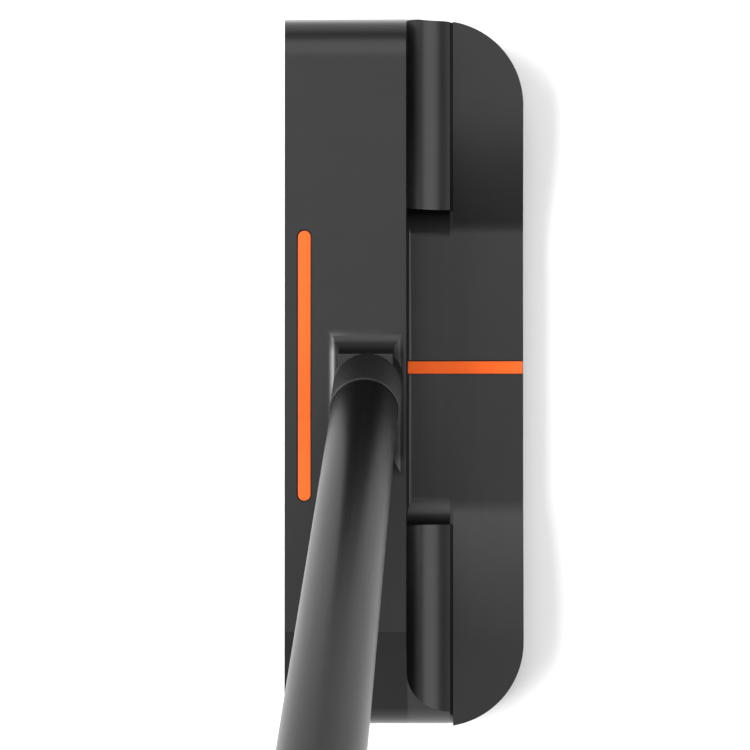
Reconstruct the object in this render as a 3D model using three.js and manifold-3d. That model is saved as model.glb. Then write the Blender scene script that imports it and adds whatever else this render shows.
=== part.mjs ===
// Mallet putter with an over-hosel shaft: milled head, insert, sole plate, weights, shaft and grip.
// Millimetres. +Z is up, +Y points to the toe, -X is the direction of the stroke.
// The origin is the middle of the flat sole, under the flange sight line.
import * as THREE from 'three';
import { mergeVertices } from 'three/addons/utils/BufferGeometryUtils.js';
import Module from 'manifold-3d';

const wasm = await Module();
wasm.setup();

// ---- driving dimensions: head ----
const FACE_X = -19.55;
const BLOCK_BACK_X = 0.3;
const WING_X = 7.94;
const REAR_X = 19.75;
const TOE_Y = 58.2;
const HEEL_Y = -60.2;
const LOFT = THREE.MathUtils.degToRad(3);
const BLOCK_TOP = 25;
const TOE_ROUND = 6.8;
const TOE_DRAFT = 1;
const TOE_DRAFT_DROP = 6;
const HEEL_SLOPE_START_Y = -43.6;
const HEEL_SLOPE_END_Y = -57;
const HEEL_SLOPE_END_Z = 10.6;
const REAR_CORNER_R = 14.2;
const FRONT_CORNER_R = 1.5;
const LEADING_EDGE_R = 1.6;
const TRAILING_EDGE_R = 2.2;
const SOLE_FLAT_HALF = 32;
const SOLE_END_RISE = 2.4;

// ---- driving dimensions: flange, wings and coves ----
const FLOOR_Z = 7;
const WING_TOP = 10.5;
const WING_FLAT_Y = 46;
const WING_JOIN_Y = 22.4;
const WING_JOIN_R = 8;
const COVE_R = 7.5;
const COVE_BOTTOM = 9.7;
const TROUGH_END_Y = 26.4;
const TROUGH_FILLET_RUN = 4.6;
const RELIEF_WIDTH = 0.5;
const RELIEF_DEPTH = 1.6;
const WALL_CORNER_R = 0.8;

// ---- driving dimensions: boss, neck and shaft line ----
const BOSS = { left: -10.6, right: -1.7, toe: 1.8, heel: -14.4, top: 30.5 };
const BOSS_ROOT_DEPTH = 3;
const BOSS_SIDE_R = 2;
const BOSS_END_R = 4.3;
const LIE_LEAN = THREE.MathUtils.degToRad(19.5);
const FORWARD_LEAN = THREE.MathUtils.degToRad(0.85);
const RIM = { x: -6.04, y: -7.57, z: 40.4 };
const NECK_R = 5.6;
const NECK_ROOT = 18;
const RIM_BEVEL = 0.25;
const POST_R = 3.6;
const POST_LENGTH = 32;
const POST_CHAMFER = 1;
const CLUB_LENGTH = 863.6;

// ---- driving dimensions: shaft and grip ----
const SHAFT_TIP_R = 5.3;
const SHAFT_START = 0.32;
const SHAFT_BEVEL = 0.25;
const SHAFT_TAPER = 0.0029;
const SHAFT_WALL = 0.6;
const BOND_WALL = 0.5;
const BOND_START = 1;
const BOND_END = 30;
const GRIP_LENGTH = 266;
const GRIP_WALL_LOW = 2.4;
const GRIP_WALL_HIGH = 4.6;
const GRIP_FLAT = 0.72;
const GRIP_STEPS = 8;
const GRIP_ARC_STEPS = 28;
const TAPE_WALL = 0.4;
const TAPE_LOW_SETBACK = 3;
const TAPE_HIGH_SETBACK = 2;
const CAP_THICKNESS = 3;
const CAP_STEM = 14;
const CAP_VENT_R = 1.2;
const CAP_EDGE = { side: 1.2, middle: 0.4, top: 1.4 };

// ---- driving dimensions: pieces set into the head ----
const GAP = 0.3;
const INSERT = { halfLength: 43, low: 4, high: 20.5, thickness: 4, corner: 4 };
const INSERT_OVERCUT = 3;
const BOND_FILM = 0.5;
const BOND_FILM_SETBACK = 1;
const PLATE = { x: -1.5, halfWidth: 12.5, halfLength: 33, thickness: 3, corner: 5 };
const SCREW = { headR: 2.8, rim: 0.5, headHeight: 1.5, shankR: 1.5, length: 6.2, recess: 0.2 };
const SOCKET = { r: 1.15, depth: 1.5, sides: 6 };
const SCREW_INSET = { x: 3.8, y: 5 };
const WEIGHT = { x: -6.5, y: 46, r: 8, thickness: 6.5, bottom: 1.3, flangeR: 9.2, flange: 1.6 };
const PIN_HOLE = { r: 1.1, offset: 5, depth: 2 };
const WASHER_THICKNESS = 0.6;
const MARK_WIDTH = 2.1;
const MARK_DEPTH = 0.9;
const MARK_RECESS = 0.12;
const MARK_GAP = 0.2;
const MARK_SETBACK = 0.1;
const END_FLAT = 0.01;
const FACE_MARK = { x: -16.32, halfLength: 22.1 };

const ARC_STEPS = 8;
const ROUND_STEPS = 32;
const SCREW_STEPS = 16;
const FAR = 80;
const OVERLAP = 1;
const DEEP_OVERLAP = 2;
const WELD = 1e-5;

// ---- looks ----
const HEAD_LOOK = { color: 0x2b2b2c, roughness: 0.42, metalness: 0.9 };
const INSERT_LOOK = { color: 0x3a3a3c, roughness: 0.5, metalness: 0.9 };
const FILM_LOOK = { color: 0xb9b4a4, roughness: 0.6, metalness: 0 };
const PAINT_LOOK = { color: 0xff6a1c, roughness: 0.5, metalness: 0 };
const PLATE_LOOK = { color: 0x8f9092, roughness: 0.35, metalness: 1 };
const SCREW_LOOK = { color: 0x6d6e70, roughness: 0.35, metalness: 1 };
const WEIGHT_LOOK = { color: 0x55565a, roughness: 0.35, metalness: 1 };
const WASHER_LOOK = { color: 0x161616, roughness: 0.8, metalness: 0 };
const SHAFT_LOOK = { color: 0x222223, roughness: 0.45, metalness: 0.8 };
const EPOXY_LOOK = { color: 0xb9a77c, roughness: 0.5, metalness: 0 };
const TAPE_LOOK = { color: 0xd8cfb4, roughness: 0.9, metalness: 0 };
const GRIP_LOOK = { color: 0x1a1a1a, roughness: 0.85, metalness: 0 };
const CAP_LOOK = { color: 0x161616, roughness: 0.7, metalness: 0 };

// ---- solids ----
function solidOf(geometry) {
  const bare = geometry.clone();
  bare.deleteAttribute('normal');
  bare.deleteAttribute('uv');
  const merged = mergeVertices(bare, WELD);
  const vertProperties = new Float32Array(merged.attributes.position.array);
  const triVerts = new Uint32Array(merged.index.array);
  return new wasm.Manifold(new wasm.Mesh({ numProp: 3, vertProperties, triVerts }));
}

function geometryOf(solid) {
  const mesh = solid.getMesh();
  const geometry = new THREE.BufferGeometry();
  geometry.setAttribute('position', new THREE.BufferAttribute(new Float32Array(mesh.vertProperties), 3));
  geometry.setIndex(new THREE.BufferAttribute(new Uint32Array(mesh.triVerts), 1));
  geometry.computeVertexNormals();
  return geometry;
}

function extrusion(shape, depth, steps = 1) {
  return new THREE.ExtrudeGeometry(shape, { depth, steps, bevelEnabled: false, curveSegments: ARC_STEPS });
}

// A plan outline (x, y) raised from z0 to z1.
function raisedZ(shape, z0, z1) {
  return extrusion(shape, z1 - z0).translate(0, 0, z0);
}

// A side outline (y, z) carried along X from x0 to x1.
function carriedX(shape, x0, x1) {
  const turn = new THREE.Matrix4().makeBasis(
    new THREE.Vector3(0, 1, 0),
    new THREE.Vector3(0, 0, 1),
    new THREE.Vector3(1, 0, 0),
  );
  return extrusion(shape, x1 - x0).applyMatrix4(turn).translate(x0, 0, 0);
}

// An end outline (x, z) carried along Y from y0 to y1.
function carriedY(shape, y0, y1) {
  return extrusion(shape, y1 - y0).rotateX(Math.PI / 2).translate(0, y1, 0);
}

function turned(points, steps = ROUND_STEPS) {
  const profile = points.map(([r, z]) => new THREE.Vector2(r, z));
  return new THREE.LatheGeometry(profile, steps).rotateX(Math.PI / 2);
}

function roundedRectangle(x0, x1, y0, y1, r) {
  const shape = new THREE.Shape();
  shape.moveTo(x0 + r, y0);
  shape.lineTo(x1 - r, y0);
  shape.absarc(x1 - r, y0 + r, r, -Math.PI / 2, 0, false);
  shape.lineTo(x1, y1 - r);
  shape.absarc(x1 - r, y1 - r, r, 0, Math.PI / 2, false);
  shape.lineTo(x0 + r, y1);
  shape.absarc(x0 + r, y1 - r, r, Math.PI / 2, Math.PI, false);
  shape.lineTo(x0, y0 + r);
  shape.absarc(x0 + r, y0 + r, r, Math.PI, Math.PI * 1.5, false);
  return shape;
}

function rectangle(x0, x1, y0, y1) {
  const shape = new THREE.Shape();
  shape.moveTo(x0, y0);
  shape.lineTo(x1, y0);
  shape.lineTo(x1, y1);
  shape.lineTo(x0, y1);
  return shape;
}

// ---- head outlines ----
const LEADING_X = FACE_X - BLOCK_TOP * Math.tan(LOFT);

function planOutline() {
  const shape = new THREE.Shape();
  const front = LEADING_X;
  const small = FRONT_CORNER_R;
  const large = REAR_CORNER_R;
  shape.moveTo(front + small, HEEL_Y);
  shape.lineTo(REAR_X - large, HEEL_Y);
  shape.absarc(REAR_X - large, HEEL_Y + large, large, -Math.PI / 2, 0, false);
  shape.lineTo(REAR_X, TOE_Y - large);
  shape.absarc(REAR_X - large, TOE_Y - large, large, 0, Math.PI / 2, false);
  shape.lineTo(front + small, TOE_Y);
  shape.absarc(front + small, TOE_Y - small, small, Math.PI / 2, Math.PI, false);
  shape.lineTo(front, HEEL_Y + small);
  shape.absarc(front + small, HEEL_Y + small, small, Math.PI, Math.PI * 1.5, false);
  return shape;
}

// The lofted face in front and the rounded leading and trailing edges below.
function loftOutline() {
  const shape = new THREE.Shape();
  const lean = Math.tan(LOFT);
  const top = FAR;
  shape.moveTo(LEADING_X + LEADING_EDGE_R, 0);
  shape.lineTo(REAR_X - TRAILING_EDGE_R, 0);
  shape.absarc(REAR_X - TRAILING_EDGE_R, TRAILING_EDGE_R, TRAILING_EDGE_R, -Math.PI / 2, 0, false);
  shape.lineTo(REAR_X + OVERLAP, TRAILING_EDGE_R);
  shape.lineTo(REAR_X + OVERLAP, top);
  shape.lineTo(LEADING_X + lean * top, top);
  shape.lineTo(LEADING_X + lean * LEADING_EDGE_R, LEADING_EDGE_R);
  shape.quadraticCurveTo(LEADING_X, 0, LEADING_X + LEADING_EDGE_R, 0);
  return shape;
}

// The sole: flat in the middle, curving up a little to heel and toe. Drawn from heel to toe.
function startSole(shape) {
  shape.moveTo(HEEL_Y - OVERLAP, SOLE_END_RISE);
  shape.lineTo(HEEL_Y, SOLE_END_RISE);
  shape.quadraticCurveTo((HEEL_Y - SOLE_FLAT_HALF) / 2, 0, -SOLE_FLAT_HALF, 0);
  shape.lineTo(SOLE_FLAT_HALF, 0);
  shape.quadraticCurveTo((TOE_Y + SOLE_FLAT_HALF) / 2, 0, TOE_Y, SOLE_END_RISE);
  shape.lineTo(TOE_Y + OVERLAP, SOLE_END_RISE);
}

const SLOPE_RUN = HEEL_SLOPE_START_Y - HEEL_SLOPE_END_Y;
const SLOPE_ANGLE = Math.atan((BLOCK_TOP - HEEL_SLOPE_END_Z) / SLOPE_RUN);
const HEEL_ROUND = (HEEL_SLOPE_END_Y - HEEL_Y) / (1 - Math.sin(SLOPE_ANGLE));

// The end view of the block along X: rounded toe end, long flat slope at the heel.
function blockOutline() {
  const shape = new THREE.Shape();
  startSole(shape);
  const draftStart = BLOCK_TOP - TOE_ROUND - TOE_DRAFT_DROP;
  shape.lineTo(TOE_Y + OVERLAP, draftStart);
  shape.lineTo(TOE_Y, draftStart);
  const toeCentreY = TOE_Y - TOE_DRAFT - TOE_ROUND;
  shape.lineTo(toeCentreY + TOE_ROUND, BLOCK_TOP - TOE_ROUND);
  shape.absarc(toeCentreY, BLOCK_TOP - TOE_ROUND, TOE_ROUND, 0, Math.PI / 2, false);
  shape.lineTo(HEEL_SLOPE_START_Y, BLOCK_TOP);
  shape.lineTo(HEEL_SLOPE_END_Y, HEEL_SLOPE_END_Z);
  const centreY = HEEL_Y + HEEL_ROUND;
  const centreZ = HEEL_SLOPE_END_Z - HEEL_ROUND * Math.cos(SLOPE_ANGLE);
  shape.absarc(centreY, centreZ, HEEL_ROUND, Math.PI / 2 + SLOPE_ANGLE, Math.PI, false);
  shape.lineTo(HEEL_Y - OVERLAP, centreZ);
  return shape;
}

// From toe to heel: a flat top that drops to the floor by a long convex arc and a short concave one.
function wingCurve(shape, top) {
  const up = Math.PI / 2;
  const run = WING_FLAT_Y - WING_JOIN_Y;
  const angle = 2 * Math.atan((top - FLOOR_Z) / run);
  const r = run / Math.sin(angle) - WING_JOIN_R;
  const joinZ = FLOOR_Z + WING_JOIN_R;
  shape.lineTo(TOE_Y + OVERLAP, top);
  shape.lineTo(WING_FLAT_Y, top);
  shape.absarc(WING_FLAT_Y, top - r, r, up, up + angle, false);
  shape.absarc(WING_JOIN_Y, joinZ, WING_JOIN_R, angle - up, -up, true);
  shape.lineTo(-WING_JOIN_Y, FLOOR_Z);
  shape.absarc(-WING_JOIN_Y, joinZ, WING_JOIN_R, -up, -up - angle, true);
  shape.absarc(-WING_FLAT_Y, top - r, r, up - angle, up, false);
  shape.lineTo(HEEL_Y - OVERLAP, top);
}

function wingOutline() {
  const shape = new THREE.Shape();
  startSole(shape);
  wingCurve(shape, WING_TOP);
  return shape;
}

// The narrow relief that parts each wing from its cove, as the space above its own floor.
function reliefOutline() {
  const shape = new THREE.Shape();
  shape.moveTo(TOE_Y + OVERLAP, BLOCK_TOP);
  wingCurve(shape, WING_TOP - RELIEF_DEPTH);
  shape.lineTo(HEEL_Y - OVERLAP, BLOCK_TOP);
  return shape;
}

// Behind the block the coves end in a wall and a round at each side of the flange floor.
function troughOutline() {
  const shape = new THREE.Shape();
  const up = Math.PI / 2;
  const angle = 2 * Math.atan((COVE_BOTTOM - FLOOR_Z) / TROUGH_FILLET_RUN);
  const r = TROUGH_FILLET_RUN / Math.sin(angle);
  const rootY = TROUGH_END_Y - TROUGH_FILLET_RUN;
  startSole(shape);
  shape.lineTo(TOE_Y + OVERLAP, BLOCK_TOP);
  shape.lineTo(TROUGH_END_Y, BLOCK_TOP);
  shape.lineTo(TROUGH_END_Y, COVE_BOTTOM);
  shape.absarc(rootY, FLOOR_Z + r, r, angle - up, -up, true);
  shape.lineTo(-rootY, FLOOR_Z);
  shape.absarc(-rootY, FLOOR_Z + r, r, -up, -up - angle, true);
  shape.lineTo(-TROUGH_END_Y, BLOCK_TOP);
  shape.lineTo(HEEL_Y - OVERLAP, BLOCK_TOP);
  return shape;
}

// The cove's section: a wall above, then a quarter round that levels out at the wing.
function coveSection() {
  const shape = new THREE.Shape();
  shape.moveTo(BLOCK_BACK_X - DEEP_OVERLAP, 0);
  shape.lineTo(WING_X, 0);
  shape.lineTo(WING_X, COVE_BOTTOM);
  shape.lineTo(BLOCK_BACK_X + COVE_R, COVE_BOTTOM);
  shape.absarc(BLOCK_BACK_X + COVE_R, COVE_BOTTOM + COVE_R, COVE_R, -Math.PI / 2, -Math.PI, true);
  shape.lineTo(BLOCK_BACK_X - DEEP_OVERLAP, COVE_BOTTOM + COVE_R);
  return shape;
}

// The small round left by the cutter where the block's back wall meets the floor.
function wallCornerSection() {
  const shape = new THREE.Shape();
  const r = WALL_CORNER_R;
  shape.moveTo(BLOCK_BACK_X - OVERLAP, FLOOR_Z - OVERLAP);
  shape.lineTo(BLOCK_BACK_X + r, FLOOR_Z - OVERLAP);
  shape.lineTo(BLOCK_BACK_X + r, FLOOR_Z);
  shape.absarc(BLOCK_BACK_X + r, FLOOR_Z + r, r, -Math.PI / 2, -Math.PI, true);
  shape.lineTo(BLOCK_BACK_X - OVERLAP, FLOOR_Z + r);
  return shape;
}

// ---- boss and neck ----
const BOSS_ROOT = BLOCK_TOP - BOSS_ROOT_DEPTH;

// Both outlines of the boss: straight sides on a concave round of radius r.
function bossOutline(low, high, r) {
  const shape = new THREE.Shape();
  const up = Math.PI / 2;
  shape.moveTo(low - r, BOSS_ROOT);
  shape.lineTo(high + r, BOSS_ROOT);
  shape.lineTo(high + r, BLOCK_TOP);
  shape.absarc(high + r, BLOCK_TOP + r, r, -up, -2 * up, true);
  shape.lineTo(high, BOSS.top);
  shape.lineTo(low, BOSS.top);
  shape.lineTo(low, BLOCK_TOP + r);
  shape.absarc(low - r, BLOCK_TOP + r, r, 0, -up, true);
  return shape;
}

// The shaft line's own frame: z runs up the shaft, and zero is at the neck's rim.
function shaftPlacement() {
  const direction = new THREE.Vector3(-Math.tan(FORWARD_LEAN), -Math.tan(LIE_LEAN), 1).normalize();
  const turn = new THREE.Quaternion().setFromUnitVectors(new THREE.Vector3(0, 0, 1), direction);
  return { turn, direction, origin: new THREE.Vector3(RIM.x, RIM.y, RIM.z) };
}

const SHAFT_LINE = shaftPlacement();
const RIM_TO_GROUND = RIM.z / SHAFT_LINE.direction.z;
const CLUB_TOP = CLUB_LENGTH - RIM_TO_GROUND;

function onShaftLine(geometry) {
  return geometry.applyQuaternion(SHAFT_LINE.turn).translate(RIM.x, RIM.y, RIM.z);
}

// Neck with a bevelled rim, and the post that the shaft slides over.
function neckProfile() {
  return [
    [0, -NECK_ROOT], [NECK_R, -NECK_ROOT], [NECK_R, -RIM_BEVEL], [NECK_R - RIM_BEVEL, 0],
    [POST_R, 0], [POST_R, POST_LENGTH - POST_CHAMFER], [POST_R - POST_CHAMFER, POST_LENGTH],
    [0, POST_LENGTH],
  ];
}

// ---- pieces let into the head ----
// A plane parallel to the lofted face: 0 is the face, positive goes into the head.
function intoFace(geometry) {
  return geometry.rotateY(LOFT).translate(LEADING_X, 0, 0);
}

function insertShape(grow) {
  const { halfLength, low, high, corner } = INSERT;
  return roundedRectangle(-halfLength - grow, halfLength + grow, low - grow, high + grow, corner + grow);
}

function insertBlock(grow, front, back) {
  return intoFace(carriedX(insertShape(grow), front, back));
}

function plateShape(grow) {
  const w = PLATE.halfWidth + grow;
  const l = PLATE.halfLength + grow;
  return roundedRectangle(PLATE.x - w, PLATE.x + w, -l, l, PLATE.corner + grow);
}

function screwPlaces() {
  const dx = PLATE.halfWidth - SCREW_INSET.x;
  const dy = PLATE.halfLength - SCREW_INSET.y;
  return [[PLATE.x - dx, dy], [PLATE.x + dx, dy], [PLATE.x - dx, -dy], [PLATE.x + dx, -dy]];
}

// A countersunk screw standing head down, grown by the clearance around it.
function screwProfile(grow, bottom) {
  const { headR, rim, headHeight, shankR, length } = SCREW;
  return [
    [0, bottom], [headR + grow, bottom], [headR + grow, rim],
    [shankR + grow, rim + headHeight], [shankR + grow, length + grow], [0, length + grow],
  ];
}

function screwRoom(x, y) {
  return solidOf(turned(screwProfile(GAP, -OVERLAP), SCREW_STEPS).translate(x, y, 0));
}

function weightProfile(grow, bottom) {
  const { r, flangeR, flange, thickness } = WEIGHT;
  const shoulder = WEIGHT.bottom + flange;
  const rise = grow > 0 ? WASHER_THICKNESS + 2 * GAP : 0;
  return [
    [0, bottom], [flangeR + grow, bottom], [flangeR + grow, shoulder + rise],
    [r + grow, shoulder + rise], [r + grow, WEIGHT.bottom + thickness + grow],
    [0, WEIGHT.bottom + thickness + grow],
  ];
}

// A groove with half-round ends. A hair of flat is left between the two corner rounds of an end.
function faceMarkShape(grow) {
  const w = MARK_WIDTH / 2 + grow;
  const l = FACE_MARK.halfLength + grow;
  return roundedRectangle(FACE_MARK.x - w, FACE_MARK.x + w, -l, l, w - END_FLAT);
}

function flangeMarkShape(grow, x0, x1) {
  const w = MARK_WIDTH / 2 + grow;
  return rectangle(x0, x1, -w, w);
}

// ---- head body ----
function headSolid() {
  const plan = solidOf(raisedZ(planOutline(), -OVERLAP, FAR));
  const loft = solidOf(carriedY(loftOutline(), HEEL_Y - DEEP_OVERLAP, TOE_Y + DEEP_OVERLAP));
  const block = solidOf(carriedX(blockOutline(), LEADING_X - OVERLAP, BLOCK_BACK_X));
  const endShape = solidOf(carriedX(blockOutline(), BLOCK_BACK_X - DEEP_OVERLAP, WING_X + OVERLAP));
  const cove = solidOf(carriedY(coveSection(), HEEL_Y - DEEP_OVERLAP, TOE_Y + DEEP_OVERLAP))
    .intersect(solidOf(carriedX(troughOutline(), BLOCK_BACK_X - DEEP_OVERLAP, WING_X + OVERLAP)))
    .intersect(endShape);
  const wings = solidOf(carriedX(wingOutline(), WING_X, REAR_X + OVERLAP));
  const cornerEnd = TROUGH_END_Y + OVERLAP;
  const corner = solidOf(carriedY(wallCornerSection(), -cornerEnd, cornerEnd));
  const relief = solidOf(carriedX(reliefOutline(), WING_X - RELIEF_WIDTH, WING_X));
  let body = block.add(cove).add(wings).subtract(relief).add(corner).intersect(plan).intersect(loft);

  const boss = solidOf(carriedY(bossOutline(BOSS.left, BOSS.right, BOSS_SIDE_R), -FAR, FAR))
    .intersect(solidOf(carriedX(bossOutline(BOSS.heel, BOSS.toe, BOSS_END_R), -FAR, BLOCK_BACK_X)));
  const neckRoom = solidOf(raisedZ(rectangle(-FAR, BLOCK_BACK_X, -FAR, BOSS.toe), BOSS_ROOT, FAR));
  const neck = solidOf(onShaftLine(turned(neckProfile()))).intersect(neckRoom);
  body = body.add(boss).add(neck);

  const pocketDepth = INSERT.thickness + BOND_FILM + 2 * GAP;
  body = body.subtract(solidOf(insertBlock(GAP, -INSERT_OVERCUT, pocketDepth)));
  body = body.subtract(solidOf(raisedZ(plateShape(GAP), -OVERLAP, PLATE.thickness + GAP)));
  for (const [x, y] of screwPlaces()) {
    body = body.subtract(screwRoom(x, y));
  }
  for (const side of [-1, 1]) {
    const bore = turned(weightProfile(GAP, -DEEP_OVERLAP)).translate(WEIGHT.x, side * WEIGHT.y, 0);
    body = body.subtract(solidOf(bore));
  }
  const markFloor = BLOCK_TOP - MARK_DEPTH - GAP;
  body = body.subtract(solidOf(raisedZ(faceMarkShape(MARK_GAP), markFloor, BLOCK_TOP + OVERLAP)));
  const groove = flangeMarkShape(MARK_GAP, BLOCK_BACK_X - MARK_GAP, REAR_X + OVERLAP);
  body = body.subtract(solidOf(raisedZ(groove, FLOOR_Z - MARK_DEPTH - GAP, FLOOR_Z + WALL_CORNER_R)));
  return body;
}

// ---- named parts ----
const club = new THREE.Group();

function addPart(parent, name, geometry, look) {
  const mesh = new THREE.Mesh(geometry, new THREE.MeshStandardMaterial(look));
  mesh.name = name;
  parent.add(mesh);
  return mesh;
}

function addInsert() {
  const back = INSERT.thickness;
  const film = insertBlock(-BOND_FILM_SETBACK, back + GAP, back + GAP + BOND_FILM);
  addPart(club, 'face_insert', geometryOf(solidOf(insertBlock(0, 0, back))), INSERT_LOOK);
  addPart(club, 'insert_bond_film', geometryOf(solidOf(film)), FILM_LOOK);
}

function addSightLines() {
  const faceMark = raisedZ(faceMarkShape(0), BLOCK_TOP - MARK_DEPTH, BLOCK_TOP - MARK_RECESS);
  addPart(club, 'face_sight_line', geometryOf(solidOf(faceMark)), PAINT_LOOK);
  const strip = flangeMarkShape(0, BLOCK_BACK_X, REAR_X - MARK_SETBACK);
  const flangeMark = raisedZ(strip, FLOOR_Z - MARK_DEPTH, FLOOR_Z - MARK_RECESS);
  addPart(club, 'flange_sight_line', geometryOf(solidOf(flangeMark)), PAINT_LOOK);
}

function addSolePlate() {
  let plate = solidOf(raisedZ(plateShape(0), 0, PLATE.thickness));
  for (const [x, y] of screwPlaces()) {
    plate = plate.subtract(screwRoom(x, y));
  }
  addPart(club, 'sole_plate', geometryOf(plate), PLATE_LOOK);
}

function addScrews() {
  const { r, depth, sides } = SOCKET;
  const socket = solidOf(turned([[0, -OVERLAP], [r, -OVERLAP], [r, depth], [0, depth]], sides));
  const screw = solidOf(turned(screwProfile(0, SCREW.recess), SCREW_STEPS)).subtract(socket);
  screwPlaces().forEach(([x, y], i) => {
    addPart(club, `sole_screw_${i + 1}`, geometryOf(screw), SCREW_LOOK).position.set(x, y, 0);
  });
}

function weightGeometry() {
  const { r, offset } = PIN_HOLE;
  const depth = WEIGHT.bottom + PIN_HOLE.depth;
  let weight = solidOf(turned(weightProfile(0, WEIGHT.bottom)));
  for (const x of [-offset, offset]) {
    const hole = turned([[0, -OVERLAP], [r, -OVERLAP], [r, depth], [0, depth]], SCREW_STEPS);
    weight = weight.subtract(solidOf(hole.translate(x, 0, 0)));
  }
  return geometryOf(weight);
}

function washerGeometry() {
  const inner = WEIGHT.r + GAP;
  const outer = WEIGHT.flangeR;
  const low = WEIGHT.bottom + WEIGHT.flange + GAP;
  const high = low + WASHER_THICKNESS;
  return turned([[inner, low], [outer, low], [outer, high], [inner, high], [inner, low]]);
}

function addWeights() {
  for (const [end, y] of [['toe', WEIGHT.y], ['heel', -WEIGHT.y]]) {
    addPart(club, `${end}_sole_weight`, weightGeometry(), WEIGHT_LOOK).position.set(WEIGHT.x, y, 0);
    addPart(club, `${end}_weight_washer`, washerGeometry(), WASHER_LOOK).position.set(WEIGHT.x, y, 0);
  }
}

// ---- shaft and grip, in the shaft line's own frame ----
const CAP_BASE = CLUB_TOP - CAP_THICKNESS;
const SHAFT_END = CAP_BASE - GAP;
const GRIP_START = CLUB_TOP - GRIP_LENGTH;
const shaftR = (z) => SHAFT_TIP_R + SHAFT_TAPER * z;

const stemR = (z) => shaftR(z) + GAP * 2 + TAPE_WALL;

function tube(z0, z1, innerAt, outerAt) {
  return turned([
    [innerAt(z0), z0], [outerAt(z0), z0], [outerAt(z1), z1], [innerAt(z1), z1], [innerAt(z0), z0],
  ]);
}

// The shaft is bevelled at its lower end.
function shaftGeometry() {
  const z0 = SHAFT_START;
  const z1 = SHAFT_END;
  const innerAt = (z) => shaftR(z) - SHAFT_WALL;
  return turned([
    [innerAt(z0), z0], [shaftR(z0) - SHAFT_BEVEL, z0], [shaftR(z0 + SHAFT_BEVEL), z0 + SHAFT_BEVEL],
    [shaftR(z1), z1], [innerAt(z1), z1], [innerAt(z0), z0],
  ]);
}

// Grip section with a flat on its upper side; its size grows towards the butt.
function gripGeometry() {
  const shape = new THREE.Shape();
  const flatAngle = Math.acos(GRIP_FLAT);
  shape.absarc(0, 0, 1, Math.PI / 2 + flatAngle, Math.PI * 2.5 - flatAngle, false);
  const length = CAP_BASE - GAP - GRIP_START;
  const geometry = new THREE.ExtrudeGeometry(shape, {
    depth: 1, steps: GRIP_STEPS, bevelEnabled: false, curveSegments: GRIP_ARC_STEPS,
  });
  const place = geometry.attributes.position;
  for (let i = 0; i < place.count; i += 1) {
    const t = place.getZ(i);
    const z = GRIP_START + t * length;
    const wall = THREE.MathUtils.lerp(GRIP_WALL_LOW, GRIP_WALL_HIGH, Math.sqrt(t)) / GRIP_FLAT;
    const r = stemR(z) + wall;
    place.setXYZ(i, place.getX(i) * r, place.getY(i) * r, z);
  }
  const bore = turned([
    [0, GRIP_START - OVERLAP], [stemR(GRIP_START), GRIP_START - OVERLAP],
    [stemR(CAP_BASE), CAP_BASE + OVERLAP], [0, CAP_BASE + OVERLAP],
  ]);
  return geometryOf(solidOf(geometry).subtract(solidOf(bore)));
}

function capGeometry() {
  const r = stemR(CLUB_TOP) + GRIP_WALL_HIGH;
  const plug = shaftR(SHAFT_END) - SHAFT_WALL - GAP * 2;
  const low = CAP_BASE - CAP_STEM;
  return turned([
    [CAP_VENT_R, low], [plug, low], [plug, CAP_BASE], [r, CAP_BASE], [r, CLUB_TOP - CAP_EDGE.side],
    [r - CAP_EDGE.middle, CLUB_TOP - CAP_EDGE.middle], [r - CAP_EDGE.top, CLUB_TOP],
    [CAP_VENT_R, CLUB_TOP], [CAP_VENT_R, low],
  ]);
}

function bondGeometry() {
  const inner = POST_R + GAP;
  return tube(BOND_START, BOND_END, () => inner, () => inner + BOND_WALL);
}

function tapeGeometry() {
  const innerAt = (z) => shaftR(z) + GAP;
  const outerAt = (z) => shaftR(z) + GAP + TAPE_WALL;
  return tube(GRIP_START + TAPE_LOW_SETBACK, SHAFT_END - TAPE_HIGH_SETBACK, innerAt, outerAt);
}

function addShaftLine() {
  const line = new THREE.Group();
  line.position.copy(SHAFT_LINE.origin);
  line.quaternion.copy(SHAFT_LINE.turn);
  club.add(line);
  addPart(line, 'shaft', shaftGeometry(), SHAFT_LOOK);
  addPart(line, 'shaft_bond', bondGeometry(), EPOXY_LOOK);
  addPart(line, 'grip_tape', tapeGeometry(), TAPE_LOOK);
  addPart(line, 'grip', gripGeometry(), GRIP_LOOK);
  addPart(line, 'grip_cap', capGeometry(), CAP_LOOK);
}

addPart(club, 'head_body', geometryOf(headSolid()), HEAD_LOOK);
addInsert();
addSightLines();
addSolePlate();
addScrews();
addWeights();
addShaftLine();

export default club;
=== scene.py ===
import math

import bmesh
import bpy
from mathutils import Matrix, Vector


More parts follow.
